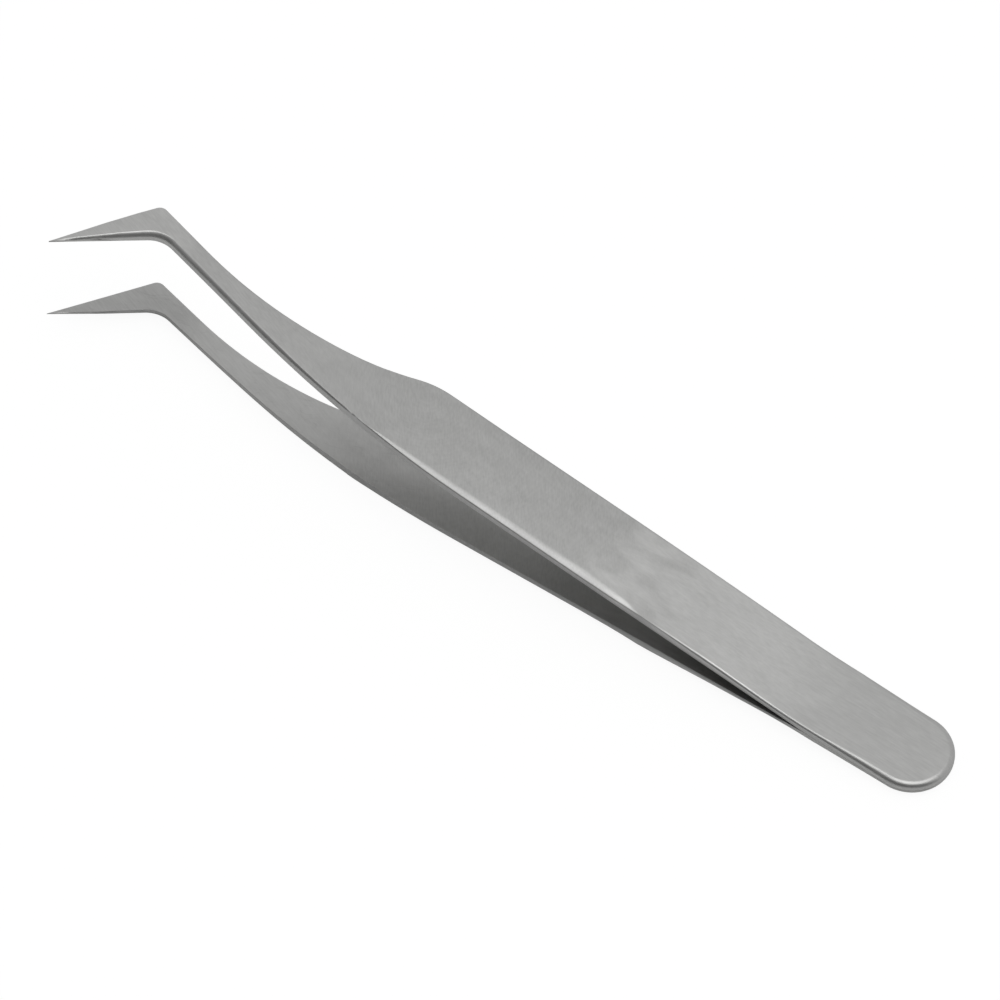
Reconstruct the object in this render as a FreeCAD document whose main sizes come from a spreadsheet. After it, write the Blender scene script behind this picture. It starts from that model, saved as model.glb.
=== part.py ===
import FreeCAD, Part
import math
import os
import Sketcher

# Curved-tip tweezers: two mirror-image spring-steel arms, welded face to face at the tail.
# The arms are modelled in their own frame: the tail's end is at X = 0, the tips point to -X,
# the weld plane is Z = 0 and the side with the outer curve of the nails is +Y.

# Sizes in millimetres and degrees. Reaches are measured back from the tip.
SIZES = {
    # overall
    "overall_length": 118.4,
    "tip_offset": 6.45,
    "handle_width": 9.92,
    # side profile of one arm
    "weld_length": 15.5,
    "weld_thickness": 0.9,
    "leaf_thickness": 1.2,
    "spread_angle": 4.66,
    "bend_radius": 25.0,
    "bow_reach": 33.4,
    "bow_radius": 476.0,
    "taper_start": 47.0,
    "taper_radius": 700.0,
    # near edge: handle, easing arc, neck and the inside of the nail
    "ease_reach": 55.0,
    "ease_radius": 142.0,
    "neck_near_angle": 12.7,
    "inner_corner_radius": 3.45,
    "nail_near_angle": 38.9,
    # far edge: shoulder, waist, neck and the outside of the nail
    "shoulder_radius": 11.4,
    "shoulder_angle": 20.55,
    "waist_reach": 27.7,
    "waist_offset": 1.57,
    "waist_back_radius": 36.8,
    "waist_blend_angle": 9.0,
    "waist_front_radius": 54.4,
    "neck_far_angle": 13.4,
    "knee_radius": 1.0,
    "nail_far_angle": 55.5,
    # ground bevels along the neck and nail: width across the face, depth down the side
    "near_bevel_width": 0.62,
    "near_bevel_depth": 0.55,
    "far_bevel_width": 0.4,
    "far_bevel_depth": 0.5,
    # ground point of the nail
    "point_thickness": 0.3,
    "point_angle": 5.2,
    # shallow facet ground along the near edge of the handle
    "facet_reach": 39.4,
    "facet_front_width": 0.68,
    "facet_back": 38.0,
    "facet_back_width": 1.08,
    "facet_angle": 22.4,
    "facet_wheel_radius": 30.0,
    "facet_lift_angle": 20.0,
    # rounded outer edge of the handle and tail
    "edge_round": 0.3,
    "tail_round": 0.8,
    # spare stock round the blank that the grinding takes away
    "stock": 2.0,
}

os.makedirs("parts", exist_ok=True)
doc = FreeCAD.newDocument("Tweezers")
sheet = doc.addObject("Spreadsheet::Sheet", "Sizes")
for row, (alias, value) in enumerate(SIZES.items(), start=1):
    sheet.set(f"A{row}", alias.replace("_", " "))
    sheet.set(f"B{row}", str(value))
    sheet.setAlias(f"B{row}", alias)
doc.recompute()


def size(alias):
    return float(sheet.get(alias))


def value(expression):
    return float(sheet.evalExpression(expression))


def turn(alias):
    return math.radians(size(alias))


def point(x, y):
    return FreeCAD.Vector(x, y, 0)


def add_sketch(body, name, role):
    sketch = body.newObject("Sketcher::SketchObject", name)
    plane = next(f for f in body.Origin.OriginFeatures if f.Role == role)
    sketch.AttachmentSupport = [(plane, "")]
    sketch.MapMode = "FlatFace"
    return sketch


def add_line(sketch, start, end, construction=False):
    return sketch.addGeometry(Part.LineSegment(point(*start), point(*end)), construction)


def add_arc(sketch, centre, radius, start_angle, end_angle, construction=False):
    circle = Part.Circle(point(*centre), FreeCAD.Vector(0, 0, 1), radius)
    return sketch.addGeometry(Part.ArcOfCircle(circle, start_angle, end_angle), construction)


def fix(sketch, kind, *where):
    sketch.addConstraint(Sketcher.Constraint(kind, *where))


def bind(sketch, expression, kind, *where):
    value = float(sketch.evalExpression(expression))
    if kind == "Angle":
        value = math.radians(value)
    index = sketch.addConstraint(Sketcher.Constraint(kind, *where, value))
    sketch.setExpression(f"Constraints[{index}]", expression)


START, END, CENTRE = 1, 2, 3
ORIGIN = (-1, 1)
TINY = 0.001

# Distances from the tail that follow from the reaches.
BOW_START = "(Sizes.overall_length - Sizes.bow_reach)"
EASE_START = "(Sizes.overall_length - Sizes.ease_reach)"
WAIST_PLACE = "(Sizes.overall_length - Sizes.waist_reach)"
FACET_START = "(Sizes.overall_length - Sizes.facet_reach)"


# Side profile of the blank strip: flat weld land, a small bend, a straight leg and a bowed
# front that brings the nails parallel. The outer line is thinner over the weld.
def side_profile(body):
    sketch = add_sketch(body, "SideProfile", "XZ_Plane")
    spread = turn("spread_angle")
    stock = size("stock")
    front = -size("overall_length") - stock
    bend = size("bend_radius")
    bow = size("bow_radius")
    thick = size("leaf_thickness")
    flat_end = -size("weld_length") + bend * math.tan(spread / 2)
    bow_x = -value(BOW_START)
    bow_z = (-size("weld_length") - bow_x) * math.tan(spread)
    bend_leave = (flat_end - bend * math.sin(spread), bend * (1 - math.cos(spread)))
    bow_centre = (bow_x - bow * math.sin(spread), bow_z - bow * math.cos(spread))
    up = math.pi / 2

    def on_bow(radius, x):
        angle = math.acos((x - bow_centre[0]) / radius)
        return (x, bow_centre[1] + radius * math.sin(angle)), angle

    land = add_line(sketch, (stock, 0), (flat_end, 0))
    bend_in = add_arc(sketch, (flat_end, bend), bend, -up - spread, -up)
    leg = add_line(sketch, bend_leave, (bow_x, bow_z))
    inner_end, inner_angle = on_bow(bow, front)
    bow_in = add_arc(sketch, bow_centre, bow, up - spread, inner_angle)
    outer_end, outer_angle = on_bow(bow + thick, front)
    front_end = add_line(sketch, inner_end, outer_end)
    bow_out = add_arc(sketch, bow_centre, bow + thick, up - spread, outer_angle)
    bow_top = (bow_centre[0] + (bow + thick) * math.sin(spread),
               bow_centre[1] + (bow + thick) * math.cos(spread))
    taper_x = -size("taper_start")
    taper_z = bow_top[1] - (taper_x - bow_top[0]) * math.tan(spread)
    back = add_line(sketch, bow_top, (taper_x, taper_z))
    taper = size("taper_radius")
    weld = size("weld_thickness")
    taper_centre = (taper_x - taper * math.sin(spread), taper_z - taper * math.cos(spread))
    rise = weld + bend - taper_centre[1]
    heel_x = taper_centre[0] + math.sqrt((taper + bend) ** 2 - rise ** 2)
    heel_turn = math.atan2(heel_x - taper_centre[0], rise)
    taper_arc = add_arc(sketch, taper_centre, taper, up - heel_turn, up - spread)
    heel = add_arc(sketch, (heel_x, weld + bend), bend, -up - heel_turn, -up)
    land_out = add_line(sketch, (heel_x, weld), (stock, weld))
    tail_end = add_line(sketch, (stock, weld), (stock, 0))

    fix(sketch, "PointOnObject", land, START, -1)
    fix(sketch, "Horizontal", land)
    fix(sketch, "Tangent", land, END, bend_in, END)
    fix(sketch, "Tangent", bend_in, START, leg, START)
    fix(sketch, "Tangent", leg, END, bow_in, START)
    fix(sketch, "Coincident", bow_in, END, front_end, START)
    fix(sketch, "Vertical", front_end)
    fix(sketch, "Coincident", front_end, END, bow_out, END)
    fix(sketch, "Coincident", bow_in, CENTRE, bow_out, CENTRE)
    fix(sketch, "Tangent", bow_out, START, back, START)
    fix(sketch, "Parallel", leg, back)
    fix(sketch, "Tangent", back, END, taper_arc, END)
    fix(sketch, "Tangent", taper_arc, START, heel, START)
    fix(sketch, "Tangent", heel, END, land_out, START)
    fix(sketch, "Horizontal", land_out)
    fix(sketch, "Coincident", land_out, END, tail_end, START)
    fix(sketch, "Coincident", tail_end, END, land, START)
    fix(sketch, "Vertical", tail_end)
    fix(sketch, "Equal", bend_in, heel)
    bind(sketch, "Sizes.stock", "DistanceX", *ORIGIN, land, START)
    bind(sketch, "Sizes.weld_length - Sizes.bend_radius * tan(Sizes.spread_angle / 2)",
         "DistanceX", land, END, *ORIGIN)
    bind(sketch, "Sizes.bend_radius", "Radius", bend_in)
    bind(sketch, "180 - Sizes.spread_angle", "Angle", leg)
    bind(sketch, BOW_START, "DistanceX", leg, END, *ORIGIN)
    bind(sketch, "Sizes.bow_radius", "Radius", bow_in)
    bind(sketch, "Sizes.overall_length + Sizes.stock", "DistanceX", bow_in, END, *ORIGIN)
    bind(sketch, "Sizes.bow_radius + Sizes.leaf_thickness", "Radius", bow_out)
    bind(sketch, "Sizes.taper_start", "DistanceX", back, END, *ORIGIN)
    bind(sketch, "Sizes.taper_radius", "Radius", taper_arc)
    bind(sketch, "Sizes.weld_thickness", "DistanceY", *ORIGIN, land_out, START)
    return sketch


def add_strip(name):
    body = doc.addObject("PartDesign::Body", name)
    profile = side_profile(body)
    pad = body.newObject("PartDesign::Pad", "Strip")
    pad.Profile = profile
    pad.SideType = "Symmetric"
    pad.setExpression("Length", "2 * (Sizes.tip_offset + Sizes.stock)")
    doc.recompute()
    return body


def add_pocket(body, sketch, name):
    before = body.Shape.Volume
    pocket = body.newObject("PartDesign::Pocket", name)
    pocket.Profile = sketch
    pocket.SideType = "Symmetric"
    pocket.Refine = False
    pocket.setExpression("Length", "2 * Sizes.overall_length")
    doc.recompute()
    if body.Shape.Volume > before * (1 - TINY):
        raise RuntimeError(f"{name} removed nothing")
    return pocket


def tip_point(sketch):
    tip = sketch.addGeometry(Part.Point(point(-size("overall_length"), -size("tip_offset"))), True)
    bind(sketch, "Sizes.overall_length", "DistanceX", tip, START, *ORIGIN)
    bind(sketch, "Sizes.tip_offset", "DistanceY", tip, START, *ORIGIN)
    return tip


# Where two lines given by a point and a direction meet.
def meet(first, first_angle, second, second_angle):
    ahead = (math.cos(first_angle), math.sin(first_angle))
    across = (-math.sin(second_angle), math.cos(second_angle))
    gap = (second[0] - first[0]) * across[0] + (second[1] - first[1]) * across[1]
    run = gap / (ahead[0] * across[0] + ahead[1] * across[1])
    return first[0] + run * ahead[0], first[1] + run * ahead[1]


# The arc that rounds the corner where a nail line, coming up from the tip, turns right into
# the neck line: its centre and the two points where it leaves the lines.
def corner(vertex, nail_angle, neck_angle, radius):
    reach = radius * math.tan((nail_angle + neck_angle) / 2)
    on_nail = (vertex[0] - reach * math.cos(nail_angle), vertex[1] - reach * math.sin(nail_angle))
    on_neck = (vertex[0] + reach * math.cos(neck_angle), vertex[1] - reach * math.sin(neck_angle))
    centre = (on_nail[0] + radius * math.sin(nail_angle), on_nail[1] - radius * math.cos(nail_angle))
    return centre, on_nail, on_neck


# Near edge: what lies below the neck line and the inside line of the nail is cut away.
def near_outline(body):
    sketch = add_sketch(body, "NearOutline", "XY_Plane")
    side = size("tip_offset") + 2 * size("stock")
    tip = (-size("overall_length"), -size("tip_offset"))
    neck_angle = turn("neck_near_angle")
    nail_angle = turn("nail_near_angle")
    ease = size("ease_radius")
    ease_centre = (-value(EASE_START), ease - size("handle_width") / 2)
    neck_point = (ease_centre[0] - ease * math.sin(neck_angle),
                  ease_centre[1] - ease * math.cos(neck_angle))
    vertex = meet(tip, nail_angle, neck_point, math.pi - neck_angle)
    radius = size("inner_corner_radius")
    centre, on_nail, on_neck = corner(vertex, nail_angle, neck_angle, radius)
    neck_out = (neck_point[0] + (neck_point[1] + side) / math.tan(neck_angle), -side)
    nail_out = (tip[0] - (side + tip[1]) / math.tan(nail_angle), -side)

    circle = Part.Circle(point(*ease_centre), FreeCAD.Vector(0, 0, 1), ease)
    ease_circle = sketch.addGeometry(circle, True)
    neck = add_line(sketch, neck_out, on_neck)
    up = math.pi / 2
    bend = add_arc(sketch, centre, radius, up - neck_angle, up + nail_angle)
    nail = add_line(sketch, nail_out, on_nail)
    close = add_line(sketch, nail_out, neck_out)
    tip_mark = tip_point(sketch)

    bind(sketch, EASE_START, "DistanceX", ease_circle, CENTRE, *ORIGIN)
    bind(sketch, "Sizes.ease_radius - Sizes.handle_width / 2",
         "DistanceY", *ORIGIN, ease_circle, CENTRE)
    bind(sketch, "Sizes.ease_radius", "Radius", ease_circle)
    fix(sketch, "Tangent", ease_circle, neck)
    bind(sketch, "180 - Sizes.neck_near_angle", "Angle", neck)
    fix(sketch, "Tangent", neck, END, bend, START)
    bind(sketch, "Sizes.inner_corner_radius", "Radius", bend)
    fix(sketch, "Tangent", nail, END, bend, END)
    bind(sketch, "Sizes.nail_near_angle", "Angle", nail)
    fix(sketch, "PointOnObject", tip_mark, START, nail)
    fix(sketch, "Coincident", close, START, nail, START)
    fix(sketch, "Coincident", close, END, neck, START)
    fix(sketch, "Horizontal", close)
    bind(sketch, "Sizes.tip_offset + 2 * Sizes.stock", "DistanceY", close, START, *ORIGIN)
    return sketch


# Where the straight flank behind the waist begins, worked out from the waist's low point.
FLANK_X = (f"{WAIST_PLACE} - Sizes.waist_front_radius * sin(Sizes.waist_blend_angle)"
           " - Sizes.waist_back_radius * (sin(Sizes.shoulder_angle) - sin(Sizes.waist_blend_angle))")
FLANK_Y = ("Sizes.waist_offset + Sizes.waist_front_radius * (1 - cos(Sizes.waist_blend_angle))"
           " + Sizes.waist_back_radius * (cos(Sizes.waist_blend_angle) - cos(Sizes.shoulder_angle))")


def flank_start():
    return -value(FLANK_X), value(FLANK_Y)


# Far edge: what lies outside the flank, waist, neck, knee and outer line of the nail is cut away.
def far_outline(body):
    sketch = add_sketch(body, "FarOutline", "XY_Plane")
    side = size("tip_offset") + 2 * size("stock")
    front = -size("overall_length") - 2 * size("stock")
    tip = (-size("overall_length"), -size("tip_offset"))
    flank_angle = turn("shoulder_angle")
    blend = turn("waist_blend_angle")
    neck_angle = turn("neck_far_angle")
    nail_angle = turn("nail_far_angle")
    low = (-value(WAIST_PLACE), size("waist_offset"))
    wide = size("waist_front_radius")
    tight = size("waist_back_radius")
    wide_centre = (low[0], low[1] + wide)
    tight_centre = (low[0] + (wide - tight) * math.sin(blend),
                    wide_centre[1] - (wide - tight) * math.cos(blend))
    flank_point = flank_start()
    flank_out = (flank_point[0] + (side - flank_point[1]) / math.tan(flank_angle), side)
    neck_point = (low[0] - wide * math.sin(neck_angle),
                  wide_centre[1] - wide * math.cos(neck_angle))
    vertex = meet(tip, nail_angle, neck_point, math.pi - neck_angle)
    radius = size("knee_radius")
    centre, on_nail, on_neck = corner(vertex, nail_angle, neck_angle, radius)
    nail_out = (tip[0] - (side + tip[1]) / math.tan(nail_angle), -side)

    up = math.pi / 2
    flank = add_line(sketch, flank_point, flank_out)
    back = add_arc(sketch, tight_centre, tight, blend - up, flank_angle - up)
    waist = add_arc(sketch, wide_centre, wide, -neck_angle - up, blend - up)
    neck = add_line(sketch, neck_point, on_neck)
    knee = add_arc(sketch, centre, radius, up - neck_angle, up + nail_angle)
    nail = add_line(sketch, nail_out, on_nail)
    lower = add_line(sketch, nail_out, (front, -side))
    left = add_line(sketch, (front, -side), (front, side))
    upper = add_line(sketch, (front, side), flank_out)
    tip_mark = tip_point(sketch)

    bind(sketch, "Sizes.shoulder_angle", "Angle", flank)
    fix(sketch, "Tangent", flank, START, back, END)
    bind(sketch, "Sizes.waist_back_radius", "Radius", back)
    fix(sketch, "Tangent", back, START, waist, END)
    bind(sketch, "Sizes.waist_front_radius", "Radius", waist)
    bind(sketch, WAIST_PLACE, "DistanceX", waist, CENTRE, *ORIGIN)
    bind(sketch, "Sizes.waist_front_radius + Sizes.waist_offset",
         "DistanceY", *ORIGIN, waist, CENTRE)
    bind(sketch, FLANK_X, "DistanceX", flank, START, *ORIGIN)
    fix(sketch, "Tangent", waist, START, neck, START)
    bind(sketch, "180 - Sizes.neck_far_angle", "Angle", neck)
    fix(sketch, "Tangent", neck, END, knee, START)
    bind(sketch, "Sizes.knee_radius", "Radius", knee)
    fix(sketch, "Tangent", nail, END, knee, END)
    bind(sketch, "Sizes.nail_far_angle", "Angle", nail)
    fix(sketch, "PointOnObject", tip_mark, START, nail)
    fix(sketch, "Coincident", nail, START, lower, START)
    fix(sketch, "Coincident", lower, END, left, START)
    fix(sketch, "Coincident", left, END, upper, START)
    fix(sketch, "Coincident", upper, END, flank, END)
    fix(sketch, "Horizontal", lower)
    fix(sketch, "Vertical", left)
    fix(sketch, "Horizontal", upper)
    bind(sketch, "Sizes.overall_length + 2 * Sizes.stock", "DistanceX", left, START, *ORIGIN)
    bind(sketch, "Sizes.tip_offset + 2 * Sizes.stock", "DistanceY", lower, START, *ORIGIN)
    bind(sketch, "Sizes.tip_offset + 2 * Sizes.stock", "DistanceY", *ORIGIN, upper, START)
    return sketch


# Handle and tail: what lies outside the easing arc, the two straight sides, the full round
# of the tail and the shoulder is cut away.
def handle_outline(body):
    sketch = add_sketch(body, "HandleOutline", "XY_Plane")
    side = size("tip_offset") + 2 * size("stock")
    end = 2 * size("stock")
    half = size("handle_width") / 2
    ease = size("ease_radius")
    ease_angle = turn("neck_near_angle")
    ease_centre = (-value(EASE_START), ease - half)
    ease_end = (ease_centre[0] - ease * math.sin(ease_angle),
                ease_centre[1] - ease * math.cos(ease_angle))
    flank_angle = turn("shoulder_angle")
    flank_point = flank_start()
    radius = size("shoulder_radius")
    corner_x = flank_point[0] + (half - flank_point[1]) / math.tan(flank_angle)
    reach = radius * math.tan(flank_angle / 2)
    shoulder_centre = (corner_x + reach, half - radius)
    shoulder_end = (corner_x - reach * math.cos(flank_angle), half - reach * math.sin(flank_angle))

    up = math.pi / 2
    ease_arc = add_arc(sketch, ease_centre, ease, -up - ease_angle, -up)
    near = add_line(sketch, (ease_centre[0], -half), (-half, -half))
    near_round = add_arc(sketch, (-half, 0), half, -up, 0)
    far_round = add_arc(sketch, (-half, 0), half, 0, up)
    far = add_line(sketch, (-half, half), (shoulder_centre[0], half))
    shoulder = add_arc(sketch, shoulder_centre, radius, up, up + flank_angle)
    far_step = add_line(sketch, shoulder_end, (shoulder_end[0], side))
    upper = add_line(sketch, (shoulder_end[0], side), (end, side))
    right = add_line(sketch, (end, side), (end, -side))
    lower = add_line(sketch, (end, -side), (ease_end[0], -side))
    near_step = add_line(sketch, (ease_end[0], -side), ease_end)
    flank = add_line(sketch, flank_point, shoulder_end, True)
    neck = add_line(sketch, (ease_end[0] - ease * math.cos(ease_angle),
                             ease_end[1] + ease * math.sin(ease_angle)), ease_end, True)

    bind(sketch, EASE_START, "DistanceX", ease_arc, CENTRE, *ORIGIN)
    bind(sketch, "Sizes.ease_radius", "Radius", ease_arc)
    fix(sketch, "Tangent", ease_arc, END, near, START)
    fix(sketch, "Horizontal", near)
    fix(sketch, "Tangent", near, END, near_round, START)
    fix(sketch, "Coincident", near_round, END, *ORIGIN)
    fix(sketch, "Coincident", far_round, START, *ORIGIN)
    fix(sketch, "Coincident", near_round, CENTRE, far_round, CENTRE)
    fix(sketch, "PointOnObject", near_round, CENTRE, -1)
    bind(sketch, "Sizes.handle_width / 2", "Radius", near_round)
    fix(sketch, "Tangent", far_round, END, far, START)
    fix(sketch, "Horizontal", far)
    fix(sketch, "Tangent", far, END, shoulder, START)
    bind(sketch, "Sizes.shoulder_radius", "Radius", shoulder)
    fix(sketch, "Tangent", shoulder, END, flank, END)
    bind(sketch, "Sizes.shoulder_angle", "Angle", flank)
    bind(sketch, FLANK_X, "DistanceX", flank, START, *ORIGIN)
    bind(sketch, FLANK_Y, "DistanceY", *ORIGIN, flank, START)
    fix(sketch, "Coincident", far_step, START, shoulder, END)
    fix(sketch, "Vertical", far_step)
    fix(sketch, "Coincident", upper, START, far_step, END)
    fix(sketch, "Horizontal", upper)
    fix(sketch, "Coincident", right, START, upper, END)
    fix(sketch, "Vertical", right)
    fix(sketch, "Coincident", lower, START, right, END)
    fix(sketch, "Horizontal", lower)
    fix(sketch, "Coincident", near_step, START, lower, END)
    fix(sketch, "Vertical", near_step)
    fix(sketch, "Coincident", near_step, END, ease_arc, START)
    fix(sketch, "Tangent", neck, END, ease_arc, START)
    bind(sketch, "-Sizes.neck_near_angle", "Angle", neck)
    bind(sketch, "Sizes.ease_radius", "Distance", neck)
    bind(sketch, "2 * Sizes.stock", "DistanceX", *ORIGIN, right, START)
    bind(sketch, "Sizes.tip_offset + 2 * Sizes.stock", "DistanceY", *ORIGIN, right, START)
    bind(sketch, "Sizes.tip_offset + 2 * Sizes.stock", "DistanceY", right, END, *ORIGIN)
    return sketch


# A face counts as the outer face when its normal rises at least this much.
FACES_UP = 0.9


# Edges between the outer face and the walls that a pocket has just cut.
def rim_edges(body):
    side = size("tip_offset") + size("stock")
    front = -size("overall_length") - size("stock")
    names = []
    for number, edge in enumerate(body.Shape.Edges, start=1):
        middle = edge.valueAt((edge.FirstParameter + edge.LastParameter) / 2)
        faces = body.Shape.ancestorsOfType(edge, Part.Face)
        tilts = []
        for face in faces:
            u, v = face.Surface.parameter(middle)
            tilts.append(face.normalAt(u, v).z)
        on_rim = max(tilts) > FACES_UP and abs(min(tilts)) < TINY
        on_border = abs(middle.y) > side - TINY or middle.x < front + TINY or middle.x > TINY
        straight = edge.Curve.TypeId == "Part::GeomLine"
        across = straight and abs(edge.tangentAt(edge.FirstParameter).x) < TINY
        if on_rim and not on_border and not across:
            names.append(f"Edge{number}")
    return names


def add_bevel(body, name, width, depth):
    base = body.Tip
    rim = rim_edges(body)
    chamfer = body.newObject("PartDesign::Chamfer", name)
    chamfer.Base = (base, rim)
    chamfer.ChamferType = "Two distances"
    chamfer.setExpression("Size", f"Sizes.{width}")
    chamfer.setExpression("Size2", f"Sizes.{depth}")
    doc.recompute()
    return chamfer


# Height of the ground face at the tip: the inner bow line plus the thickness of the point.
TIP_Z = (f"({BOW_START} - Sizes.weld_length) * tan(Sizes.spread_angle)"
         " - Sizes.bow_radius * cos(Sizes.spread_angle)"
         " + sqrt(Sizes.bow_radius ^ 2 - (Sizes.bow_reach"
         " - Sizes.bow_radius * sin(Sizes.spread_angle)) ^ 2)"
         " + Sizes.point_thickness")


# The outside face is ground down to a thin point: a plane that rises from the tip.
def grind_point(body):
    sketch = add_sketch(body, "PointProfile", "XZ_Plane")
    sketch.setExpression("AttachmentOffset.Base.x", "-Sizes.overall_length")
    sketch.setExpression("AttachmentOffset.Base.z", "Sizes.tip_offset")
    along_nail = "(Sizes.nail_near_angle + Sizes.nail_far_angle) / 2"
    sketch.AttachmentOffset = FreeCAD.Placement(
        FreeCAD.Vector(-size("overall_length"), 0, size("tip_offset")),
        FreeCAD.Rotation(FreeCAD.Vector(0, 1, 0), value(along_nail)))
    sketch.setExpression("AttachmentOffset.Rotation.Angle", along_nail)
    slope = turn("point_angle")
    back = -3 * size("stock")
    reach = size("leaf_thickness") / math.tan(slope) + 3 * size("stock")
    tip_z = value(TIP_Z)
    top = tip_z + 2 * size("leaf_thickness")
    low = (back, tip_z + back * math.tan(slope))
    high = (reach, tip_z + reach * math.tan(slope))
    ground = add_line(sketch, low, high)
    right = add_line(sketch, high, (reach, top))
    upper = add_line(sketch, (reach, top), (back, top))
    left = add_line(sketch, (back, top), low)
    point_mark = sketch.addGeometry(Part.Point(point(0, tip_z)), True)
    fix(sketch, "Coincident", ground, END, right, START)
    fix(sketch, "Coincident", right, END, upper, START)
    fix(sketch, "Coincident", upper, END, left, START)
    fix(sketch, "Coincident", left, END, ground, START)
    fix(sketch, "Vertical", right)
    fix(sketch, "Horizontal", upper)
    fix(sketch, "Vertical", left)
    fix(sketch, "PointOnObject", point_mark, START, -2)
    fix(sketch, "PointOnObject", point_mark, START, ground)
    bind(sketch, TIP_Z, "DistanceY", *ORIGIN, point_mark, START)
    bind(sketch, "Sizes.point_angle", "Angle", ground)
    bind(sketch, "3 * Sizes.stock", "DistanceX", ground, START, *ORIGIN)
    bind(sketch, "Sizes.leaf_thickness / tan(Sizes.point_angle) + 3 * Sizes.stock",
         "DistanceX", *ORIGIN, ground, END)
    bind(sketch, f"{TIP_Z} + 2 * Sizes.leaf_thickness", "DistanceY", *ORIGIN, upper, START)
    return add_pocket(body, sketch, "PointPocket")


# Height of the outer face's straight leg above the weld plane, at a distance from the tail.
def leg_height(distance):
    return (f"(({distance} - Sizes.weld_length) * tan(Sizes.spread_angle)"
            " + Sizes.leaf_thickness / cos(Sizes.spread_angle))")


# Place of the facet's inner line on the tilted sketch, at a distance from the tail.
def facet_line(distance, width):
    return (f"(Sizes.handle_width / 2 - {width}) * sin(Sizes.facet_angle)"
            f" + {leg_height(distance)} * cos(Sizes.facet_angle)")


FACET_FRONT = facet_line(FACET_START, "Sizes.facet_front_width")
FACET_BACK = facet_line("Sizes.facet_back", "Sizes.facet_back_width")


# A shallow facet ground along the near edge of the handle. It starts where the edge eases
# out of the neck and runs out where the wheel lifts off.
def grind_facet(body):
    sketch = add_sketch(body, "FacetProfile", "XZ_Plane")
    sketch.AttachmentOffset = FreeCAD.Placement(
        FreeCAD.Vector(0, 0, 0), FreeCAD.Rotation(FreeCAD.Vector(1, 0, 0), size("facet_angle")))
    sketch.setExpression("AttachmentOffset.Rotation.Angle", "Sizes.facet_angle")
    front = (-value(FACET_START), value(FACET_FRONT))
    back = (-size("facet_back"), value(FACET_BACK))
    fall = math.atan2(front[1] - back[1], back[0] - front[0])
    wheel = size("facet_wheel_radius")
    wheel_centre = (back[0] + wheel * math.sin(fall), back[1] + wheel * math.cos(fall))
    up = math.pi / 2
    lift = turn("facet_lift_angle")
    rim = (wheel_centre[0] + wheel * math.sin(lift - fall),
           wheel_centre[1] - wheel * math.cos(lift - fall))
    top = front[1] + 3 * size("stock")
    ground = add_line(sketch, front, back)
    run_out = add_arc(sketch, wheel_centre, wheel, -up - fall, -up - fall + lift)
    right = add_line(sketch, rim, (rim[0], top))
    upper = add_line(sketch, (rim[0], top), (front[0], top))
    left = add_line(sketch, (front[0], top), front)
    fix(sketch, "Tangent", ground, END, run_out, START)
    fix(sketch, "Coincident", run_out, END, right, START)
    fix(sketch, "Coincident", right, END, upper, START)
    fix(sketch, "Coincident", upper, END, left, START)
    fix(sketch, "Coincident", left, END, ground, START)
    fix(sketch, "Vertical", right)
    fix(sketch, "Horizontal", upper)
    fix(sketch, "Vertical", left)
    bind(sketch, FACET_START, "DistanceX", ground, START, *ORIGIN)
    bind(sketch, FACET_FRONT, "DistanceY", *ORIGIN, ground, START)
    bind(sketch, "Sizes.facet_back", "DistanceX", ground, END, *ORIGIN)
    bind(sketch, FACET_BACK, "DistanceY", *ORIGIN, ground, END)
    bind(sketch, "Sizes.facet_wheel_radius", "Radius", run_out)
    bind(sketch, "2 * Sizes.facet_wheel_radius * sin(Sizes.facet_lift_angle / 2)",
         "Distance", run_out, START, run_out, END)
    bind(sketch, "3 * Sizes.stock", "DistanceY", ground, START, upper, END)
    return add_pocket(body, sketch, "FacetPocket")


near_side = add_strip("NearGrind")
add_pocket(near_side, near_outline(near_side), "NearPocket")
add_bevel(near_side, "NearBevel", "near_bevel_width", "near_bevel_depth")
grind_point(near_side)
grind_facet(near_side)
far_side = add_strip("FarGrind")
add_pocket(far_side, far_outline(far_side), "FarPocket")
add_bevel(far_side, "FarBevel", "far_bevel_width", "far_bevel_depth")
handle = add_strip("HandleBlank")
add_pocket(handle, handle_outline(handle), "HandlePocket")


# Radius of the rounded outer edge at a point of the handle's rim: it swells round the tail's end.
def round_at(place):
    return size("tail_round") if place.x > -TINY else size("edge_round")


rounded = doc.addObject("Part::Fillet", "HandleRound")
rounded.Base = handle
edges = []
for name in rim_edges(handle):
    number = int(name.removeprefix("Edge"))
    edge = handle.Shape.Edges[number - 1]
    ends = [edge.valueAt(edge.FirstParameter), edge.valueAt(edge.LastParameter)]
    edges.append((number, round_at(ends[0]), round_at(ends[1])))
rounded.Edges = edges
doc.recompute()

upper = doc.addObject("Part::MultiCommon", "upper_arm")
upper.Shapes = [near_side, far_side, rounded]
upper.Refine = False
doc.recompute()


# At rest the lower arm lies on its bow and on the rounded edge of its tail, so the weld plane
# tilts up towards the tips: the line that touches both circles gives the angle.
def rest_tilt():
    spread = turn("spread_angle")
    bow = size("bow_radius")
    tail = size("tail_round")
    start = value(BOW_START)
    bow_x = -start - bow * math.sin(spread)
    bow_z = (start - size("weld_length")) * math.tan(spread) - bow * math.cos(spread)
    along = bow_x + tail
    rise = bow_z - size("weld_thickness") + tail
    reach = math.hypot(along, rise)
    drop = bow + size("leaf_thickness") - tail
    return math.atan2(along, rise) + math.acos(-drop / reach)


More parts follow.
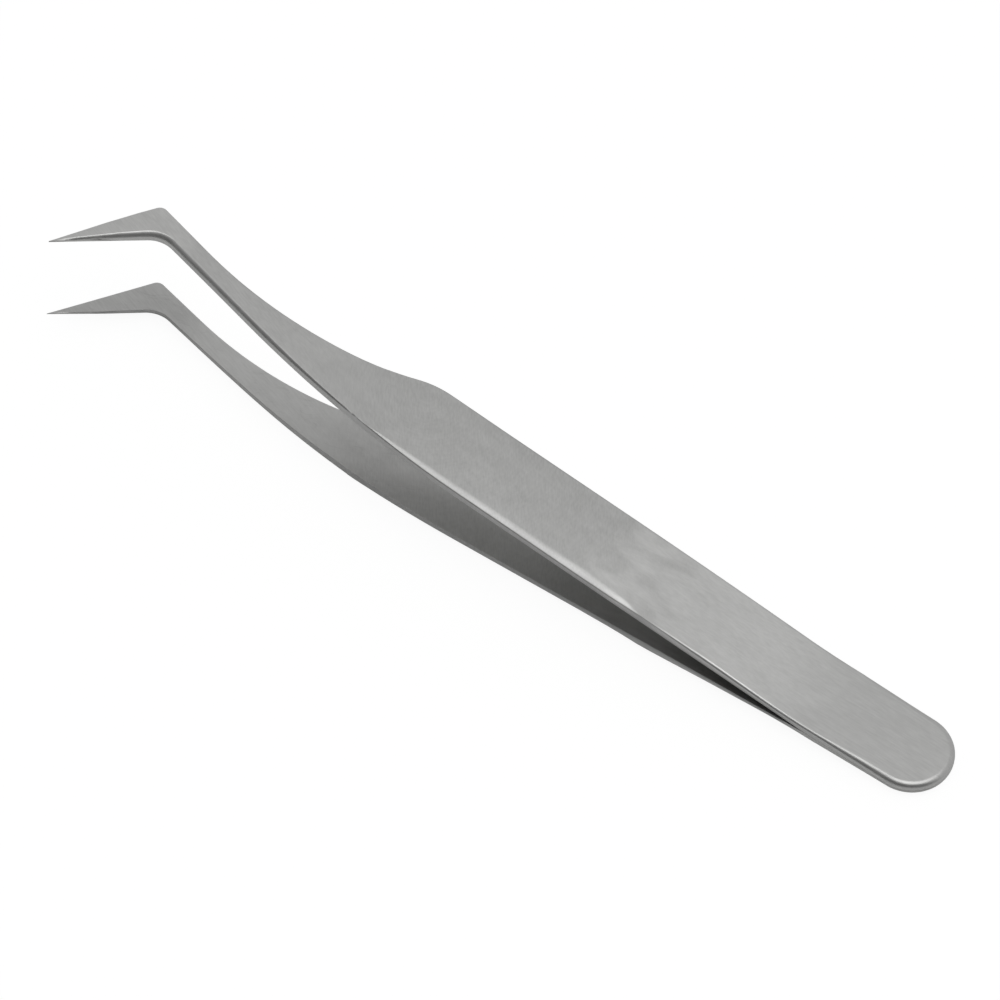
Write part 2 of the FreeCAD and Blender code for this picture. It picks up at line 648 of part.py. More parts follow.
tilt = FreeCAD.Rotation(FreeCAD.Vector(0, 1, 0), math.degrees(rest_tilt()))
upper.Placement = FreeCAD.Placement(FreeCAD.Vector(0, 0, 0), tilt)
lower = doc.addObject("Part::Mirroring", "lower_arm")
lower.Source = upper
lower.Normal = tilt.multVec(FreeCAD.Vector(0, 0, 1))
doc.recompute()
low_box = lower.Shape.optimalBoundingBox(False, False)
high_box = upper.Shape.optimalBoundingBox(False, False)
middle_x = (min(low_box.XMin, high_box.XMin) + max(low_box.XMax, high_box.XMax)) / 2
middle_y = (low_box.YMin + low_box.YMax) / 2
stand = FreeCAD.Vector(-middle_x, -middle_y, -low_box.ZMin)
upper.Placement = FreeCAD.Placement(stand, tilt)
lower.Base = stand
doc.recompute()
for item in doc.Objects:
    if "Invalid" in item.State or "Error" in item.State:
        raise RuntimeError(f"{item.Name} failed")
for node in (upper, lower):
    if node.Shape.isNull() or not node.Shape.isValid():
        raise RuntimeError(f"{node.Label} is not a valid solid")
    node.Shape.exportStep(f"parts/{node.Label}.step")
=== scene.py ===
import math

import bmesh
import bpy
from mathutils import Matrix, Quaternion, Vector


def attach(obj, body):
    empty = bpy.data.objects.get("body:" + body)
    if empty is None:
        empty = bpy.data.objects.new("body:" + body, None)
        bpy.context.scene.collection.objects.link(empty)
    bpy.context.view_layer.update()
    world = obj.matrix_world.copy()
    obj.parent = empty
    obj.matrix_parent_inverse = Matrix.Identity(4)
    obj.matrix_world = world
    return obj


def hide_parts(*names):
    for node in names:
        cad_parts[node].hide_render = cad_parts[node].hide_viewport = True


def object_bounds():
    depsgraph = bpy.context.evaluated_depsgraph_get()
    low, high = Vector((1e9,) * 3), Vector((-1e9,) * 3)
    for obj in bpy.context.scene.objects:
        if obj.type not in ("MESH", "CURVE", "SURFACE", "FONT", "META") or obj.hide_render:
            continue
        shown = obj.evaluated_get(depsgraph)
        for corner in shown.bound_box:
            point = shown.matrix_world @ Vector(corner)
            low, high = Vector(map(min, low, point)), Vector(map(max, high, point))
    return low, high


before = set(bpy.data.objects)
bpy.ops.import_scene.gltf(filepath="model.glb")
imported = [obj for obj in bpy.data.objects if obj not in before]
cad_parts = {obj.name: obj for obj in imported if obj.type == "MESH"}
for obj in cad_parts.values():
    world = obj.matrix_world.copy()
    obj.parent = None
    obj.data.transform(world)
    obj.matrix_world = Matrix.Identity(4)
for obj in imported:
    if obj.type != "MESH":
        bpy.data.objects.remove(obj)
cad_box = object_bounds()

# Shapes are drawn in millimetres, in the arm's own frame: the tail ends at X = 0, the tips point
# to -X, the outer curve of the nails is at +Y and the weld plane is Z = 0. A distance is measured
# from the tail towards the tips.
MM = 0.001
UP = Vector((0, 0, 1))

# One arm seen from above, in millimetres and degrees.
OVERALL_LENGTH = 118.4
TIP_OFFSET = 6.45
HANDLE_WIDTH = 9.92
TAIL_ROUND = 0.8
NAIL_FAR_ANGLE, NAIL_NEAR_ANGLE = 55.5, 38.9
NECK_FAR_ANGLE, NECK_NEAR_ANGLE = 13.4, 12.7
KNEE_RADIUS, INNER_CORNER_RADIUS = 1.0, 3.45
WAIST_REACH, WAIST_OFFSET = 27.7, 1.57
WAIST_FRONT_RADIUS, WAIST_BLEND_ANGLE, WAIST_BACK_RADIUS = 54.4, 9.0, 36.8
SHOULDER_RADIUS, SHOULDER_ANGLE = 11.4, 20.55
EASE_START, EASE_RADIUS = OVERALL_LENGTH - 55.0, 142.0
TIP = Vector((-OVERALL_LENGTH, -TIP_OFFSET))
WAIST = Vector((WAIST_REACH - OVERALL_LENGTH, WAIST_OFFSET))

# Side profile of the upper arm: flat weld land, small bend, straight leg and bowed front.
SPREAD = math.radians(4.66)
WELD_LENGTH, WELD_THICKNESS = 15.5, 0.9
LEAF_THICKNESS = 1.2
BEND_RADIUS = 25.0
TAPER_END, TAPER_RADIUS = 47.0, 700.0
HEEL_RADIUS = 60.0
BOW_START, BOW_RADIUS = OVERALL_LENGTH - 33.4, 476.0

# The plane that thins the nail's outer face to a point, and the length of its soft start.
POINT_THICKNESS, POINT_BLEND = 0.3, 3.0
POINT_SLOPE = math.tan(math.radians(5.2))
POINT_START = (LEAF_THICKNESS - POINT_THICKNESS) / POINT_SLOPE
POINT_DIRECTION = math.radians((NAIL_FAR_ANGLE + NAIL_NEAR_ANGLE) / 2)

# Inner line of the shallow facet along the near edge: out of the edge, along it and back out.
FACET_LINE = (Vector((-77.0, -4.309, 0)), Vector((-75.0, -4.20, 0)), Vector((-46.0, -3.93, 0)),
              Vector((-42.0, -4.1, 0)), Vector((-39.5, -4.45, 0)), Vector((-37.5, -4.96, 0)))
FACET_SLOPE = math.tan(math.radians(22.4))
NO_FACET = -100.0

# Width of the rounding on the outer rims, as pairs of a distance and a width. It only changes on
# straight runs and on wide arcs. Behind the start of the grinding the rims are rolled round, and
# in front of it they are ground flatter.
WIDEST_ROUND = 0.8
NEAR_RIM = ((0, 0.8), (5, 0.8), (14, 0.35), (28, 0.4), (36, 0.12), (77, 0.14), (92, 0.48),
            (100, 0.5), (107.2, 0.62), (109.7, 0.62), (118.4, 0.06))
FAR_RIM = ((0, 0.8), (5, 0.8), (14, 0.3), (62, 0.26), (69, 0.15), (88, 0.15), (98, 0.22),
           (111.06, 0.2), (118.4, 0.03))
INNER_RIM = 0.05
GRINDING_START = 78.0
RIM_PROFILES = (("rolled_rims", 0.5), ("ground_rims", 0.36))
RIM_SEGMENTS = 8

# Cuts across the arm that let it bend: even ones, and closer ones over the bend and the heel.
STATION = 2.0
FIRST_STATION, LAST_STATION = 3, 58
HEEL_STATIONS = (17.5, 18.5, 19.5, 20.5, 21.3)

# Points nearer than this are one point: in the walk, on a cut and after the pressing.
SAME_POINT, ON_THE_CUT, SLIVER = 0.0005, 0.001, 0.015

# How far a normal leans up or down on the faces and, at most, on the walls.
FACE_LEAN, WALL_LEAN = 0.9, 0.3
EVEN_SHADING = 60


def ahead(degrees):
    heading = math.radians(degrees)
    return Vector((math.cos(heading), math.sin(heading)))


# From the start to the end of an arc. Left turns are positive.
def arc_shift(radius, heading, turn):
    chord = 2 * radius * math.sin(math.radians(abs(turn)) / 2)
    return ahead(heading + turn / 2) * chord


# Lengths of the two straight runs that cross a gap with a rounded corner between them.
def runs_round_corner(gap, heading, radius, turn):
    gap = gap - arc_shift(radius, heading, turn)
    first, second = ahead(heading), ahead(heading + turn)
    opening = first.cross(second)
    return gap.cross(second) / opening, first.cross(gap) / opening


# The walk round one arm, seen from above. It starts at the tip and goes along the far edge, round
# the tail and back along the near edge. A run is (length,) and a turn is (radius, degrees, steps).
def outline_steps():
    side = HANDLE_WIDTH / 2
    knee_turn = -NAIL_FAR_ANGLE - NECK_FAR_ANGLE
    neck_end = WAIST - arc_shift(WAIST_FRONT_RADIUS, -NECK_FAR_ANGLE, NECK_FAR_ANGLE)
    nail_far, neck_far = runs_round_corner(neck_end - TIP, NAIL_FAR_ANGLE, KNEE_RADIUS, knee_turn)

    front_turn = NECK_FAR_ANGLE + WAIST_BLEND_ANGLE
    back_turn = SHOULDER_ANGLE - WAIST_BLEND_ANGLE
    flank_start = WAIST + arc_shift(WAIST_FRONT_RADIUS, 0, WAIST_BLEND_ANGLE)
    flank_start += arc_shift(WAIST_BACK_RADIUS, WAIST_BLEND_ANGLE, back_turn)
    shoulder = arc_shift(SHOULDER_RADIUS, SHOULDER_ANGLE, -SHOULDER_ANGLE)
    flank = (side - flank_start.y - shoulder.y) / ahead(SHOULDER_ANGLE).y
    handle_start = flank_start + ahead(SHOULDER_ANGLE) * flank + shoulder

    corner_turn = NECK_NEAR_ANGLE + NAIL_NEAR_ANGLE
    ease_end = Vector((-EASE_START, -side)) + arc_shift(EASE_RADIUS, 180, -NECK_NEAR_ANGLE)
    neck_near, nail_near = runs_round_corner(TIP - ease_end, 180 - NECK_NEAR_ANGLE,
                                             INNER_CORNER_RADIUS, corner_turn)
    return (
        (nail_far,),
        (KNEE_RADIUS, knee_turn, 12),
        (neck_far,),
        (WAIST_FRONT_RADIUS, front_turn, 16),
        (WAIST_BACK_RADIUS, back_turn, 8),
        (flank,),
        (SHOULDER_RADIUS, -SHOULDER_ANGLE, 12),
        (-handle_start.x - side,),
        (side, -180, 100),
        (EASE_START - side,),
        (EASE_RADIUS, -NECK_NEAR_ANGLE, 16),
        (neck_near,),
        (INNER_CORNER_RADIUS, corner_turn, 16),
        (nail_near,),
    )


def draw_outline(bm):
    start = last = bm.verts.new(TIP.to_3d())
    heading = NAIL_FAR_ANGLE
    for step in outline_steps():
        if len(step) == 1:
            last = bmesh.ops.extrude_vert_indiv(bm, verts=[last])["verts"][0]
            bmesh.ops.translate(bm, verts=[last], vec=ahead(heading).to_3d() * step[0])
            continue
        radius, turn, steps = step
        centre = last.co + UP.cross(ahead(heading).to_3d()) * math.copysign(radius, turn)
        spun = bmesh.ops.spin(bm, geom=[last], cent=centre, axis=UP, angle=math.radians(turn),
                              steps=steps)
        last = next(v for v in spun["geom_last"] if isinstance(v, bmesh.types.BMVert))
        heading += turn
    bmesh.ops.weld_verts(bm, targetmap={last: start})


# Inner face of the straight leg above the weld plane.
def leg_height(distance):
    return (distance - WELD_LENGTH) * math.tan(SPREAD)


# Centre of an arc that leaves the leg's direction at a point and curves back down.
def arc_centre(distance, height, radius):
    return distance + radius * math.sin(SPREAD), height - radius * math.cos(SPREAD)


def arc_height(distance, centre, radius):
    return centre[1] + math.sqrt(radius ** 2 - (distance - centre[0]) ** 2)


BEND_REACH = BEND_RADIUS * math.tan(SPREAD / 2)
BEND_START = WELD_LENGTH - BEND_REACH
BEND_END = WELD_LENGTH + BEND_REACH * math.cos(SPREAD)
LEG_THICKNESS = LEAF_THICKNESS / math.cos(SPREAD)
BOW_CENTRE = arc_centre(BOW_START, leg_height(BOW_START), BOW_RADIUS)
TAPER_CENTRE = arc_centre(TAPER_END, leg_height(TAPER_END) + LEG_THICKNESS, TAPER_RADIUS)

# The heel is the soft hollow between the flat over the weld and the taper.
HEEL_RISE = WELD_THICKNESS + HEEL_RADIUS - TAPER_CENTRE[1]
HEEL_REACH = math.sqrt((HEEL_RADIUS + TAPER_RADIUS) ** 2 - HEEL_RISE ** 2)
HEEL_START = TAPER_CENTRE[0] - HEEL_REACH
HEEL_END = HEEL_START + HEEL_REACH * HEEL_RADIUS / (HEEL_RADIUS + TAPER_RADIUS)


def inner_height(distance):
    if distance < BEND_START:
        return 0.0
    if distance < BEND_END:
        return BEND_RADIUS - math.sqrt(BEND_RADIUS ** 2 - (distance - BEND_START) ** 2)
    if distance < BOW_START:
        return leg_height(distance)
    return arc_height(distance, BOW_CENTRE, BOW_RADIUS)


def outer_height(distance):
    if distance < HEEL_START:
        return WELD_THICKNESS
    if distance < HEEL_END:
        rise = HEEL_RADIUS - math.sqrt(HEEL_RADIUS ** 2 - (distance - HEEL_START) ** 2)
        return WELD_THICKNESS + rise
    if distance < TAPER_END:
        return arc_height(distance, TAPER_CENTRE, TAPER_RADIUS)
    if distance < BOW_START:
        return leg_height(distance) + LEG_THICKNESS
    return arc_height(distance, BOW_CENTRE, BOW_RADIUS + LEAF_THICKNESS)


# How far the ground point lowers the outer face: nothing behind its start, then a smooth run
# into an even slope down to the tip.
def point_drop(x, y):
    along = (x - TIP.x) * math.cos(POINT_DIRECTION) + (y - TIP.y) * math.sin(POINT_DIRECTION)
    into = POINT_START + POINT_BLEND - along
    if into <= 0:
        return 0.0
    if into < 2 * POINT_BLEND:
        return POINT_SLOPE * into ** 2 / (4 * POINT_BLEND)
    return POINT_SLOPE * (into - POINT_BLEND)


def facet_inner_y(x):
    for start, end in zip(FACET_LINE, FACET_LINE[1:]):
        if start.x <= x <= end.x:
            return start.y + (end.y - start.y) * (x - start.x) / (end.x - start.x)
    return NO_FACET


def rim_round(distance, knots):
    for (start, first), (end, last) in zip(knots, knots[1:]):
        if distance <= end:
            return first + (last - first) * (distance - start) / (end - start)
    return knots[-1][1]


def top_faces(bm, low, high):
    faces = [f for f in bm.faces
             if f.normal.z > FACE_LEAN and low < f.calc_center_median().x < high]
    edges = {e for f in faces for e in f.edges}
    verts = {v for f in faces for v in f.verts}
    return [*faces, *edges, *verts]


# Gives the flat leaf its side profile, its facet and its point.
def press(bm):
    for vert in bm.verts:
        distance = -vert.co.x
        if vert.co.z < LEAF_THICKNESS / 2:
            vert.co.z = inner_height(distance)
            continue
        facet_drop = max(0.0, facet_inner_y(vert.co.x) - vert.co.y) * FACET_SLOPE
        vert.co.z = outer_height(distance) - facet_drop - point_drop(vert.co.x, vert.co.y)


# Marks the edges between the flat faces and the walls with the width of their rounding.
def weigh_rims(bm):
    rolled, ground = (bm.edges.layers.float.new(rims) for rims, profile in RIM_PROFILES)
    for edge in bm.edges:
        if len(edge.link_faces) != 2:
            continue
        flat, wall = sorted((f.normal for f in edge.link_faces), key=lambda n: -abs(n.z))
        if abs(flat.z) < FACE_LEAN or abs(wall.z) > WALL_LEAN:
            continue
        distance = -(edge.verts[0].co.x + edge.verts[1].co.x) / 2
        knots = NEAR_RIM if wall.y < 0 else FAR_RIM
        width = rim_round(distance, knots) if flat.z > 0 else INNER_RIM
        edge[rolled if distance < GRINDING_START else ground] = width / WIDEST_ROUND


def shape_arm(bm):
    draw_outline(bm)
    bmesh.ops.remove_doubles(bm, verts=bm.verts, dist=SAME_POINT)
    sheet = bmesh.ops.contextual_create(bm, geom=bm.edges)["faces"]
    bmesh.ops.recalc_face_normals(bm, faces=sheet)
    raised = bmesh.ops.extrude_face_region(bm, geom=sheet)["geom"]
    verts = [v for v in raised if isinstance(v, bmesh.types.BMVert)]
    bmesh.ops.translate(bm, verts=verts, vec=UP * LEAF_THICKNESS)
    bmesh.ops.recalc_face_normals(bm, faces=bm.faces)
    stations = [STATION * i for i in range(FIRST_STATION, LAST_STATION + 1)]
    stations += [BEND_START, HEEL_START, BEND_END, *HEEL_STATIONS, HEEL_END]
    for station in stations:
        bmesh.ops.bisect_plane(bm, geom=[*bm.verts, *bm.edges, *bm.faces],
                               dist=ON_THE_CUT, plane_co=(-station, 0, 0), plane_no=(1, 0, 0))
    bm.normal_update()
    for start, end in zip(FACET_LINE, FACET_LINE[1:]):
        bmesh.ops.bisect_plane(bm, geom=top_faces(bm, start.x, end.x), dist=ON_THE_CUT,
                               plane_co=start, plane_no=(end - start).cross(UP))
    press(bm)
    bmesh.ops.remove_doubles(bm, verts=bm.verts, dist=SLIVER)
    bmesh.ops.recalc_face_normals(bm, faces=bm.faces)
    weigh_rims(bm)


# At rest the lower arm lies on its bow and on the rounded edge of its tail, so the weld plane
# tilts up towards the tips.
def rest_tilt():
    along = BOW_CENTRE[0] - TAIL_ROUND
    rise = WELD_THICKNESS - TAIL_ROUND - BOW_CENTRE[1]
    drop = BOW_RADIUS + LEAF_THICKNESS - TAIL_ROUND
    return math.atan2(along, rise) - math.acos(drop / math.hypot(along, rise))


# The lower arm's tail touches the floor, and the upper arm's tail reaches the end of the box.
def rest_place(tilt):
    above = WELD_THICKNESS - TAIL_ROUND
    upper_round, lower_round = (tilt @ Vector((-TAIL_ROUND, 0, z)) for z in (above, -above))
    return Vector((cad_box[1][0] / MM - upper_round.x - TAIL_ROUND,
                   (TIP_OFFSET - HANDLE_WIDTH / 2) / 2,
                   TAIL_ROUND - lower_round.z))


REST_TURN = Matrix.Rotation(rest_tilt(), 3, "Y")
REST_PLACE = rest_place(REST_TURN)


def make_arm(name, mirrored, steel):
    bm = bmesh.new()
    shape_arm(bm)
    if mirrored:
        bmesh.ops.scale(bm, verts=bm.verts, vec=(1, 1, -1))
        bmesh.ops.reverse_faces(bm, faces=bm.faces)
    bmesh.ops.rotate(bm, verts=bm.verts, cent=(0, 0, 0), matrix=REST_TURN)
    bmesh.ops.translate(bm, verts=bm.verts, vec=REST_PLACE)
    bmesh.ops.scale(bm, verts=bm.verts, vec=(MM, MM, MM))
    for face in bm.faces:
        face.smooth = True
    arm = add_mesh(name, bm, steel)
    for rims, profile in RIM_PROFILES:
        edge = arm.modifiers.new(rims, "BEVEL")
        edge.limit_method = "WEIGHT"
        edge.edge_weight = rims
        edge.width = WIDEST_ROUND * MM
        edge.segments = RIM_SEGMENTS
        edge.profile = profile
        edge.loop_slide = False
        edge.use_clamp_overlap = False
    even = arm.modifiers.new("even_shading", "WEIGHTED_NORMAL")
    even.keep_sharp = False
    even.weight = EVEN_SHADING
    return arm


def add_mesh(name, bm, material):
    mesh = bpy.data.meshes.new(name)
    bm.to_mesh(mesh)
    bm.free()
    mesh.materials.append(material)
    return add_object(name, mesh)


def add_object(name, data):
    thing = bpy.data.objects.new(name, data)
    bpy.context.scene.collection.objects.link(thing)
    return thing


# The nodes of one material or world, joined up as they are made. A value is a socket or a number.
class Recipe:
    def __init__(self, owner):
        owner.use_nodes = True
        self.nodes = owner.node_tree.nodes
        self.links = owner.node_tree.links
        self.nodes.clear()

    def add(self, kind, values, **settings):
        node = self.nodes.new(kind)
        for setting, choice in settings.items():
            setattr(node, setting, choice)
        for socket, value in values.items():
            if isinstance(value, bpy.types.NodeSocket):
                self.links.new(value, node.inputs[socket])
            else:
                node.inputs[socket].default_value = value
        return node

    def combine(self, operation, first, second, clamped=False):
        node = self.add("ShaderNodeMath", {0: first, 1: second}, operation=operation,
                        use_clamp=clamped)
        return node.outputs["Value"]

    def plus(self, *values):
        total = values[0]
        for value in values[1:]:
            total = self.combine("ADD", total, value)
        return total

    def times(self, *values):
        product = values[0]
        for value in values[1:]:
            product = self.combine("MULTIPLY", product, value)
        return product

    def dot(self, place, direction):
        node = self.add("ShaderNodeVectorMath", {0: place, 1: direction},
                        operation="DOT_PRODUCT")
        return node.outputs["Value"]

    def ramp(self, value, limits, results, smooth=False):
        node = self.add("ShaderNodeMapRange", {
            "Value": value,
            "From Min": limits[0], "From Max": limits[1],
            "To Min": results[0], "To Max": results[1],
        }, interpolation_type="SMOOTHSTEP" if smooth else "LINEAR")
        return node.outputs["Result"]

    def zone(self, value, limits):
        return self.ramp(value, limits, (0, 1), True)

    def blend(self, share, first, second):
        node = self.add("ShaderNodeMix", {"Factor": share, "A": first, "B": second},
                        data_type="FLOAT")
        return node.outputs["Result"]

    # The place on the piece, in flecks of a size in millimetres, turned by degrees about Z.
    def lay(self, place, size, turned=0.0, centre=(0, 0, 0)):
        node = self.add("ShaderNodeMapping", {
            "Vector": place,
            "Location": centre,
            "Rotation": (0, 0, math.radians(turned)),
            "Scale": tuple(length * MM for length in size),
        }, vector_type="TEXTURE")
        return node.outputs["Vector"]

    def noise(self, vector, detail, twist=0.0):
        node = self.add("ShaderNodeTexNoise", {
            "Vector": vector, "Scale": 1.0, "Detail": detail, "Distortion": twist})
        return node.outputs["Fac"]


# The finish, the painted shade in the gap and the painted light on the neck and nail change along
# the object. Places in metres from its middle, the handle at +X.
HANDLE_ZONE = (0.012, 0.024)
NECK_ZONE = (-0.016, -0.030)
NAIL_ZONE = (-0.042, -0.047)
TAIL_ZONE = (0.033, 0.048)
UPPER_NECK_ZONE = (0.007, 0.010)
UPPER_NAIL_ZONE = (0.009, 0.012)
GAP_SHADE_ZONE = (0.002, 0.032)
GAP_SHADE_ROOT_ZONE = (0.043, 0.040)
SMEAR_ZONE = (-0.002, -0.012)
LOWER_ARM_ZONE = (0.007, 0.005)
RAGGED_EDGE = 0.012

# Sizes of the flecks and strokes, in millimetres along and across them.
CLOUD_SIZE = (5.0, 2.2, 2.2)
FLECK_SIZE = (1.3, 0.7, 0.7)
HANDLE_STROKES = (4.0, 0.20, 0.20)
NECK_STROKES, NECK_STROKE_TURN = (1.8, 0.16, 0.16), -18
WAIST_GRAIN, WAIST_GRAIN_TURN = (0.9, 0.17, 0.17), -55
SMEAR_SIZE, SMEAR_TURN = (2.6, 1.0, 1.0), 25
SWIRL_SIZE, SWIRL_CENTRE = (1.6, 1.6, 1.6), (-0.013, 0.004, 0.012)

# Steel greys, and what is added to them; the neck and nail gains are painted light.
PLAIN_TONE, HANDLE_TONE = 0.52, 0.625
# Painted light: the neck is lightened, the lower arm's more than the upper arm's, for how the
# light falls on each.
LOWER_NECK_GAIN, UPPER_NECK_GAIN = 0.08, 0.03
# Painted sheen: the upper arm's nail is lightened where its tilted face catches more light.
PAINTED_NAIL_SHEEN = 0.09
WORN_EDGE_GAIN = 0.05
TAIL_LOSS, SMEAR_LOSS = -0.03, -0.05
CLOUD_SWING, FLECK_SWING, GRAIN_SWING, SWIRL_SWING = 0.028, 0.014, 0.03, 0.006
BLUE_SHARE = 0.985

# Painted shade: the inner faces lose this share of their tone at the gap's root. A point belongs
# to a face when
# it is nearer than the first depth, and no longer when it is past the second.
GAP_SHADE_SHARE = 0.35
FACE_DEPTH, FACE_EDGE = 0.1 * MM, 0.5 * MM

# Where each pattern counts as weak and as strong, out of the whole range of 0 to 1.
WHOLE = (0, 1)
CLOUD_RANGE, CLOUD_SHINE_RANGE = (0.25, 0.75), (0.2, 0.8)
GRAIN_RANGE = (0.3, 0.7)
WORN_RANGE = (0.52, 0.62)
SMEAR_RANGE = (0.60, 0.72)

ROUGHNESS = (0.40, 0.34)
GRAIN_ROUGHNESS = 0.02
GRAIN_BUMP, GRAIN_DEPTH = 0.25, 0.012 * MM


def swing(amount):
    return -amount, amount


# Painted shade: the inner faces that look at each other are darkened into the narrow gap, where
# little light reaches.
# side is 1 for the upper arm's inner face and -1 for the lower arm's.
def painted_gap_shade(recipe, place, x, side):
    root, far = (Vector((-d, 0, side * leg_height(d))) for d in (WELD_LENGTH, BOW_START))
    across = REST_TURN @ (far - root).cross(Vector((0, 1, 0))).normalized()
    level = across.dot(REST_TURN @ root + REST_PLACE) * MM
    away = recipe.dot(place, across)
    above = recipe.zone(away, (level - FACE_EDGE, level - FACE_DEPTH))
    below = recipe.zone(away, (level + FACE_EDGE, level + FACE_DEPTH))
    depth = recipe.ramp(x, GAP_SHADE_ZONE, (0, GAP_SHADE_SHARE))
    root_end = recipe.ramp(x, GAP_SHADE_ROOT_ZONE, WHOLE)
    loss = recipe.times(above, below, depth, root_end)
    return recipe.ramp(loss, WHOLE, (1, 0))


# Faint rings left by polishing on the plain steel of the waist.
def polishing_swirl(recipe, place, handle, front):
    rings = recipe.add("ShaderNodeTexWave", {
        "Vector": recipe.lay(place, SWIRL_SIZE, centre=SWIRL_CENTRE),
        "Scale": 1.0, "Distortion": 6.0, "Detail": 2.0, "Detail Scale": 0.7,
    }, wave_type="RINGS", rings_direction="SPHERICAL")
    plain = recipe.combine("SUBTRACT", 1.0, recipe.plus(handle, front), clamped=True)
    return recipe.times(recipe.ramp(rings.outputs["Fac"], WHOLE, swing(SWIRL_SWING)), plain)


# Satin stainless steel: strokes along the neck and nail, a fine grain with faint swirls on the
# waist, and long brush strokes on the lighter, hand-polished handle.
# Its grey also holds painted shade in the gap and painted light on the neck and the upper nail.
def satin_steel():
    material = bpy.data.materials.new("satin_steel")
    recipe = Recipe(material)
    place = recipe.add("ShaderNodeTexCoord", {}).outputs["Object"]
    along = recipe.add("ShaderNodeSeparateXYZ", {"Vector": place}).outputs
    x, z = along["X"], along["Z"]
    cloud = recipe.noise(recipe.lay(place, CLOUD_SIZE), detail=4.0, twist=0.4)
    fleck = recipe.noise(recipe.lay(place, FLECK_SIZE), detail=3.0, twist=0.6)
    ragged = recipe.plus(x, recipe.ramp(cloud, WHOLE, swing(RAGGED_EDGE)))
    handle = recipe.zone(ragged, HANDLE_ZONE)
    front = recipe.zone(x, NECK_ZONE)
    nail = recipe.zone(x, NAIL_ZONE)
    neck = recipe.times(front, recipe.ramp(x, NAIL_ZONE, (1, 0), True))

    handle_strokes = recipe.noise(recipe.lay(place, HANDLE_STROKES), detail=3.0)
    neck_strokes = recipe.noise(recipe.lay(place, NECK_STROKES, NECK_STROKE_TURN), detail=3.0)
    waist_grain = recipe.noise(recipe.lay(place, WAIST_GRAIN, WAIST_GRAIN_TURN), detail=2.0)
    grain = recipe.blend(handle, recipe.blend(front, waist_grain, neck_strokes), handle_strokes)

    # Painted light on the neck, stronger on the lower arm.
    painted_neck_light = recipe.ramp(z, UPPER_NECK_ZONE, (LOWER_NECK_GAIN, UPPER_NECK_GAIN), True)
    tone = recipe.plus(
        recipe.ramp(cloud, CLOUD_RANGE, swing(CLOUD_SWING)),
        recipe.ramp(fleck, GRAIN_RANGE, swing(FLECK_SWING)),
        recipe.ramp(grain, GRAIN_RANGE, swing(GRAIN_SWING)),
        polishing_swirl(recipe, place, handle, front),
        recipe.ramp(handle, WHOLE, (PLAIN_TONE, HANDLE_TONE)),
        recipe.times(neck, painted_neck_light),
        # Painted sheen on the upper arm's nail.
        recipe.times(nail, recipe.zone(z, UPPER_NAIL_ZONE), PAINTED_NAIL_SHEEN),
        recipe.ramp(x, TAIL_ZONE, (0, TAIL_LOSS)),
    )
    # Painted shade on both inner faces, darkest towards the gap's root.
    tone = recipe.times(tone, painted_gap_shade(recipe, place, x, -1), painted_gap_shade(recipe, place, x, 1))
    worn_edge = recipe.add("ShaderNodeNewGeometry", {}).outputs["Pointiness"]
    smear = recipe.noise(recipe.lay(place, SMEAR_SIZE, SMEAR_TURN), detail=3.0, twist=1.6)
    tone = recipe.plus(
        tone,
        recipe.ramp(worn_edge, WORN_RANGE, (0, WORN_EDGE_GAIN)),
        recipe.times(recipe.ramp(smear, SMEAR_RANGE, (0, SMEAR_LOSS)),
                     recipe.zone(z, LOWER_ARM_ZONE), recipe.zone(x, SMEAR_ZONE)),
    )
    colour = recipe.add("ShaderNodeCombineColor", {
        "Red": tone, "Green": tone, "Blue": recipe.times(tone, BLUE_SHARE)})
    roughness = recipe.plus(recipe.ramp(cloud, CLOUD_SHINE_RANGE, ROUGHNESS),
                            recipe.ramp(grain, GRAIN_RANGE, swing(GRAIN_ROUGHNESS)))
    bump = recipe.add("ShaderNodeBump", {
        "Height": grain, "Strength": GRAIN_BUMP, "Distance": GRAIN_DEPTH})
    shader = recipe.add("ShaderNodeBsdfPrincipled", {
        "Base Color": colour.outputs["Color"], "Metallic": 1.0, "Roughness": roughness,
        "Normal": bump.outputs["Normal"]})
    recipe.add("ShaderNodeOutputMaterial", {"Surface": shader.outputs["BSDF"]})
    return material


# In metres, and in shares of white.
FLOOR_SIZE = 3
FLOOR_DEPTH = 0.1 * MM
FLOOR_GREY = 0.85
GLOW, GLOW_SHARE = 1.09, 0.85


# White paper. To the camera it mostly glows, so that it stays white and keeps a faint shadow.
def add_floor():
    material = bpy.data.materials.new("floor")
    recipe = Recipe(material)
    paper = recipe.add("ShaderNodeBsdfDiffuse", {"Color": (FLOOR_GREY, FLOOR_GREY, FLOOR_GREY, 1)})
    white = recipe.add("ShaderNodeEmission", {"Color": (1, 1, 1, 1), "Strength": GLOW})
    path = recipe.add("ShaderNodeLightPath", {})
    mix = recipe.add("ShaderNodeMixShader", {
        "Fac": recipe.times(path.outputs["Is Camera Ray"], GLOW_SHARE),
        1: paper.outputs["BSDF"], 2: white.outputs["Emission"]})
    recipe.add("ShaderNodeOutputMaterial", {"Surface": mix.outputs["Shader"]})
    bm = bmesh.new()
    bmesh.ops.create_grid(bm, x_segments=1, y_segments=1, size=FLOOR_SIZE)
    floor = add_mesh("floor", bm, material)
    floor.location.z = -FLOOR_DEPTH


# The room darkens towards one side, between these two shares of facing it.
DARK_SIDE = (0.3, -0.87, -0.25)
ROOM_GREY, DARK_GREY = 0.55, 0.12
DARKENING = (0.02, 0.36)


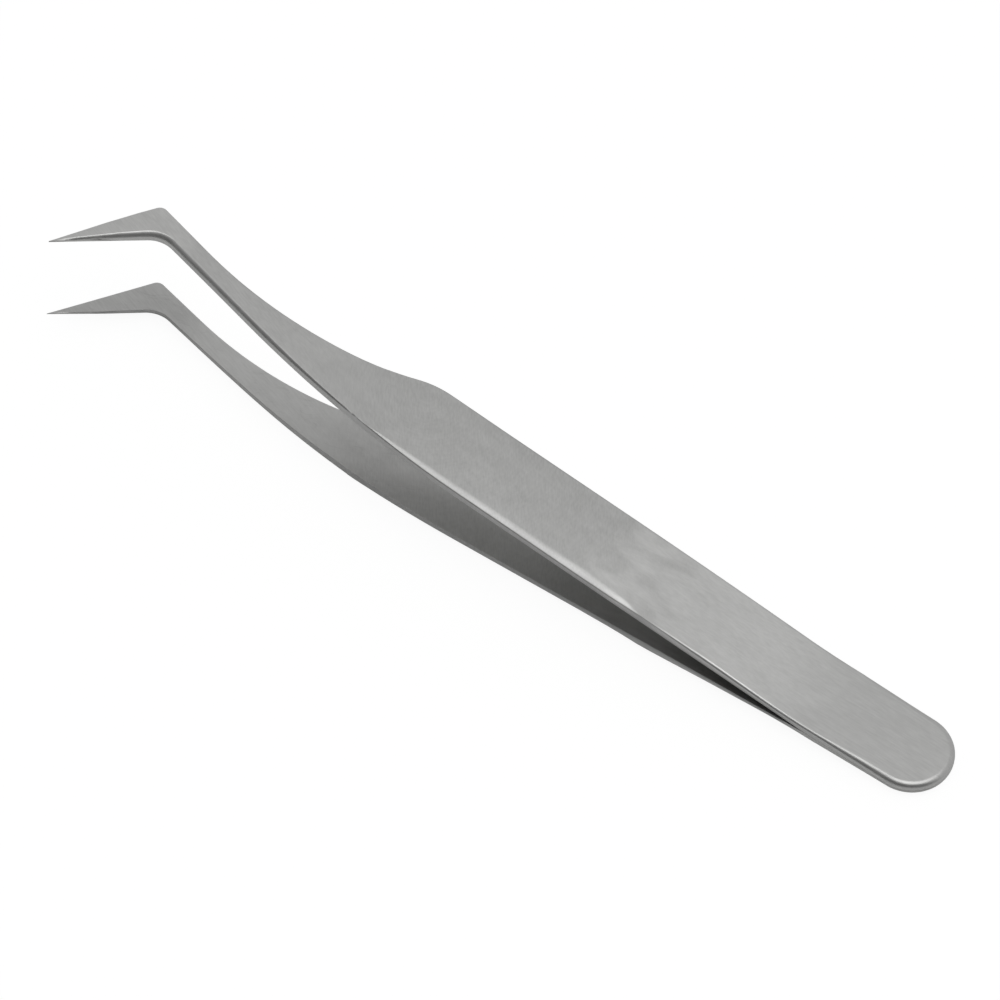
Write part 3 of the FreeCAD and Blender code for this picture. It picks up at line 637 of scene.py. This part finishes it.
# The studio: a pale room that is dark behind the camera, low down.
def add_room():
    world = bpy.data.worlds.new("studio")
    bpy.context.scene.world = world
    recipe = Recipe(world)
    place = recipe.add("ShaderNodeTexCoord", {}).outputs["Generated"]
    grey = recipe.ramp(recipe.dot(place, DARK_SIDE), DARKENING, (ROOM_GREY, DARK_GREY))
    background = recipe.add("ShaderNodeBackground", {"Color": grey, "Strength": 1.0})
    recipe.add("ShaderNodeOutputWorld", {"Surface": background.outputs["Background"]})


# A square softbox overhead, a little towards the handle and the camera.
LAMP_DIRECTION, LAMP_DISTANCE = Vector((0.22, -0.09, 0.97)), 1.2
LAMP_SIZE, LAMP_WATTS = 0.88, 2.85


def add_lamp():
    data = bpy.data.lights.new("overhead", "AREA")
    data.shape = "SQUARE"
    data.size = LAMP_SIZE
    data.energy = LAMP_WATTS
    lamp = add_object("overhead", data)
    away = LAMP_DIRECTION.normalized()
    lamp.location = away * LAMP_DISTANCE
    lamp.rotation_euler = away.to_track_quat("Z", "Y").to_euler()


# The long lens that took the photo, in metres and degrees.
AIM = Vector((-0.717, 0.652, 5.105)) * MM
CAMERA_AZIMUTH = math.radians(34.846)
CAMERA_HEIGHT = math.radians(55.089)
CAMERA_ROLL = math.radians(-0.117)
CAMERA_DISTANCE = 1.0
FOCAL_LENGTH = 321.1
SENSOR_WIDTH = 36.0


def add_camera():
    data = bpy.data.cameras.new("camera")
    data.sensor_width = SENSOR_WIDTH
    data.lens = FOCAL_LENGTH
    data.clip_end = 10
    camera = add_object("camera", data)
    away = Vector((math.sin(CAMERA_AZIMUTH) * math.cos(CAMERA_HEIGHT),
                   -math.cos(CAMERA_AZIMUTH) * math.cos(CAMERA_HEIGHT),
                   math.sin(CAMERA_HEIGHT)))
    camera.location = AIM + away * CAMERA_DISTANCE
    turned = away.to_track_quat("Z", "Y") @ Quaternion((0, 0, 1), CAMERA_ROLL)
    camera.rotation_euler = turned.to_euler()
    bpy.context.scene.camera = camera


steel = satin_steel()
for piece, node, mirrored in (("upper_leaf", "upper_arm", False),
                              ("lower_leaf", "lower_arm", True)):
    arm = make_arm(piece, mirrored, steel)
    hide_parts(node)
    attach(arm, "root")
add_floor()
add_room()
add_lamp()
add_camera()
bpy.context.scene.view_settings.view_transform = "Standard"
